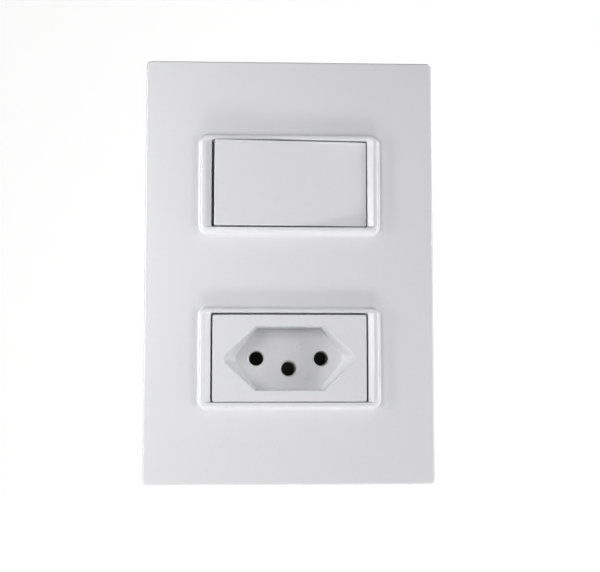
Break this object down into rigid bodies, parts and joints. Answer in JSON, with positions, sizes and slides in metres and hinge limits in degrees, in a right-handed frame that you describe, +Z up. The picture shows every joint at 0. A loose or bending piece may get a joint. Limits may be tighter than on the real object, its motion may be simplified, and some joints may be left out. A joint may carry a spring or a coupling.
{
  "type": "switch and socket combination",
  "caption": "White wall plate with a horizontal rocker switch above a recessed six-sided three-pin socket, on a support frame for a wall box.",
  "frame": {"origin": "centre of the circle through the two box screws, in the plane where the assembly meets the wall", "axes": "+Z up along the plate's long side, +X to the right seen from the room, +Y into the wall"},
  "size_m": [0.083, 0.0347, 0.122],
  "materials": {
    "white_gloss": "glossy white moulded thermoplastic",
    "frame_plastic": "matt light grey moulded thermoplastic",
    "case_plastic": "matt off-white moulded thermoplastic",
    "back_plastic": "matt grey moulded thermoplastic",
    "brass": "bright stamped brass",
    "copper": "bright rolled copper alloy",
    "silver": "silver alloy contact rivet",
    "zinc_steel": "zinc plated steel",
    "spring_steel": "drawn spring steel"
  },
  "bodies": {
    "fixed": {"cover_plate": "white_gloss", "socket_body": "white_gloss", "support_frame": "frame_plastic", "box_screw_top": "zinc_steel", "box_screw_bottom": "zinc_steel", "switch_housing": "case_plastic", "common_terminal": "brass", "load_terminal": "brass", "fixed_contact": "silver", "common_terminal_screw": "zinc_steel", "load_terminal_screw": "zinc_steel", "switch_back_cover": "back_plastic", "left_contact": "brass", "right_contact": "brass", "earth_contact": "brass", "left_terminal": "brass", "right_terminal": "brass", "earth_terminal": "brass", "left_terminal_screw": "zinc_steel", "right_terminal_screw": "zinc_steel", "earth_terminal_screw": "zinc_steel", "socket_back_cover": "back_plastic"},
    "rocker": {"switch_rocker": "white_gloss", "plunger_spring": "spring_steel"},
    "plunger": {"plunger": "brass"},
    "bridge": {"contact_bridge": "copper", "moving_contact": "silver"}
  },
  "joints": [
    {"name": "rocker_tilt", "type": "hinge", "parent": "fixed", "child": "rocker", "pos_m": [0, -0.0055, 0.025], "axis": [0, 0, 1], "range_deg": [-9, 0]},
    {"name": "bridge_tilt", "type": "hinge", "parent": "fixed", "child": "bridge", "pos_m": [0, 0.0045, 0.025], "axis": [0, 0, 1], "range_deg": [0, 12]},
    {"name": "plunger_slide", "type": "slide", "parent": "rocker", "child": "plunger", "axis": [0.0785, -0.9969, 0], "range_m": [0, 0.0004], "stiffness_N_per_m": 500, "springref_m": -0.002, "deforming": ["plunger_spring"]}
  ],
  "couplings": [
    {"joint": "bridge_tilt", "follows": "rocker_tilt", "ratio": -1.3333}
  ]
}
